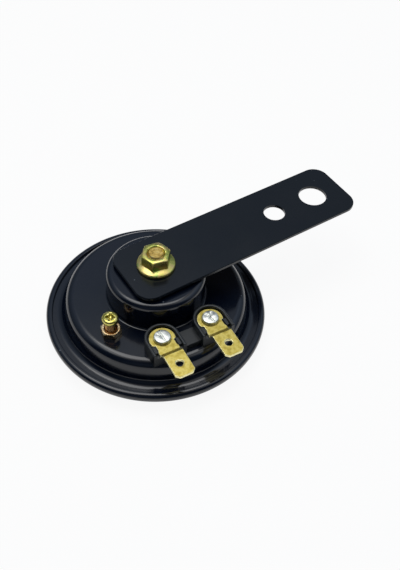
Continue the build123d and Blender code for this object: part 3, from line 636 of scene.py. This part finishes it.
# Each groove's length, width, depth, turn and start.
head_grooves = {"left": [(5.4, 0.6, 0.4, -92, None), (1.7, 0.45, 0.22, 128, 0.3)],
                "right": [(2.8, 0.5, 0.36, -86, -0.1), (2.3, 0.5, 0.32, 117, 0.1),
                          (2.4, 0.42, 0.3, 53, 0.1)]}
for side in ("left", "right"):
    foot = foot_of("terminal_screw_" + side)
    top_height = (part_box("terminal_screw_" + side)[1].z - foot.z) / mm
    seat = top_height - head_height
    pan_screw = turn_piece(
        "pan_screw_" + side,
        [(0, 0), (1.2, 0), (1.5, 0.3), (1.5, seat), (2.44, seat), (2.5, seat + 0.08),
         (2.5, seat + 0.48), (2.4, seat + 0.68), (2.2, seat + 0.78),
         (0, top_height)], foot)
    head_top = foot + Vector((0, 0, top_height * mm))
    for length, width, depth, angle, start in head_grooves[side]:
        groove(pan_screw, head_top, length, width, depth, angle, start)
    round_edges(pan_screw, 0.05)
    nickel = faced("nickelled_head_" + side, foot,
                   [(0.3, "B4B8B2"), (0.5, "DADCD4"), (0.7, "F0F0EA")], 1.2, (0.34, 0.52),
                   2.2, 0.006)
    settle(pan_screw, "terminal_screw_" + side, nickel)
    ring = turn_piece("head_washer_" + side,
                      [(1.6, 0), (2.68, 0), (2.75, 0.07), (2.75, 0.27), (2.65, 0.4),
                       (1.6, 0.4), (1.6, 0)], foot_of("terminal_washer_" + side), 64)
    settle(ring, "terminal_washer_" + side, washer_brass)


# Sounding side: the tone disc, its washers and nut are mild steel in clear zinc, and
# the disc shows the concentric marks of its spinning.
zinc_tones = [(0.3, "A2A6A9"), (0.5, "B8BCBF"), (0.7, "C6C9CB")]
dress(faced("clear_zinc_spun", Vector((0, 0, 0)), zinc_tones, 3.0, (0.26, 0.4), 1.0, 0.012),
      "armature_washer", "disc_washer", "tone_disc", "tone_disc_nut")
dress(metal("clear_zinc_plate", zinc_tones, 3.0, (0.26, 0.4), 0.6, 0.008), "breaker_base")


# Diaphragm and its gaskets: blued spring steel, clamped between two rings of brown
# gasket paper.
dress(metal("spring_steel", [(0.35, "6E747C"), (0.6, "8C9298")], 12.0, (0.2, 0.32), 0.5),
      "diaphragm")
dress(moulded("gasket_paper", [(0.35, "6A5236"), (0.65, "84694A")], 2.0, (0.7, 0.9), 0.3,
              0.03), "front_gasket", "rear_gasket")


# Magnet: a turned soft iron armature with a red fibre pad, a nylon bobbin in the cup,
# and its winding of enamelled copper wire, whose turns show as fine ridges, with painted
# shade darkening the grooves between them.
dress(metal("turned_soft_iron", [(0.35, "77736E"), (0.65, "98948E")], 6.0, (0.3, 0.45),
            0.4, 0.01), "armature")
dress(moulded("red_fibre", [(0.35, "6E2A1E"), (0.65, "8A3A2A")], 2.5, (0.5, 0.7), 0.3,
              0.02), "armature_pad")
dress(moulded("white_nylon", [(0.35, "D8D2C2"), (0.65, "E6E2D6")], 6.0, (0.35, 0.5), 0.5,
              0.01), "coil_bobbin")
coil, shader, place = new_material("enamelled_copper_turns")
shader.inputs["Metallic"].default_value = 1.0
turn_ridges_and_shade = add_node(coil, "ShaderNodeTexWave", {"Vector": place}, bands_direction="Z",
                 Scale=per_mm(0.4) * waves_per_unit, Distortion=0.4)
# Painted shade: the colour follows the ridges' bump, dark brown in the grooves and copper
# on the crowns.
hue = add_node(coil, "ShaderNodeValToRGB", {"Fac": turn_ridges_and_shade.outputs["Fac"]},
               stops=[(0.1, "5A2412"), (0.8, "B8643A")])
bump = add_node(coil, "ShaderNodeBump", {"Height": turn_ridges_and_shade.outputs["Fac"]}, Strength=0.8,
                Distance=0.1 * mm)
coil.node_tree.links.new(hue.outputs["Color"], shader.inputs["Base Color"])
coil.node_tree.links.new(bump.outputs["Normal"], shader.inputs["Normal"])
shader.inputs["Roughness"].default_value = 0.3
dress(coil, "coil_winding")


# Contact breaker under the plateau: a bronze leaf and a brass arm between plates of
# vulcanised fibre, with tungsten points, held by steel rivets. The terminals' inner
# insulator is the same fibre, and their nuts are the same bright steel.
dress(moulded("vulcanised_fibre", [(0.35, "5A3220"), (0.65, "70442E")], 3.0, (0.45, 0.6),
              0.3, 0.02), "breaker_insulator", "breaker_spacer", "inner_insulator")
dress(metal("phosphor_bronze", [(0.35, "A87848"), (0.65, "C0925E")], 5.0, (0.22, 0.34),
            0.3), "contact_leaf")
dress(metal("hard_brass", [(0.35, "B09A4E"), (0.65, "CAB56A")], 5.0, (0.25, 0.38), 0.3),
      "contact_arm")
dress(metal("tungsten", [(0.35, "6C6C70"), (0.65, "88888C")], 1.0, (0.3, 0.4), 0.2),
      "moving_contact", "fixed_contact")
dress(metal("bright_steel", [(0.35, "9C9EA0"), (0.65, "B8BABC")], 2.0, (0.22, 0.36), 0.3),
      "breaker_rivets", "terminal_nut_left", "terminal_nut_right")
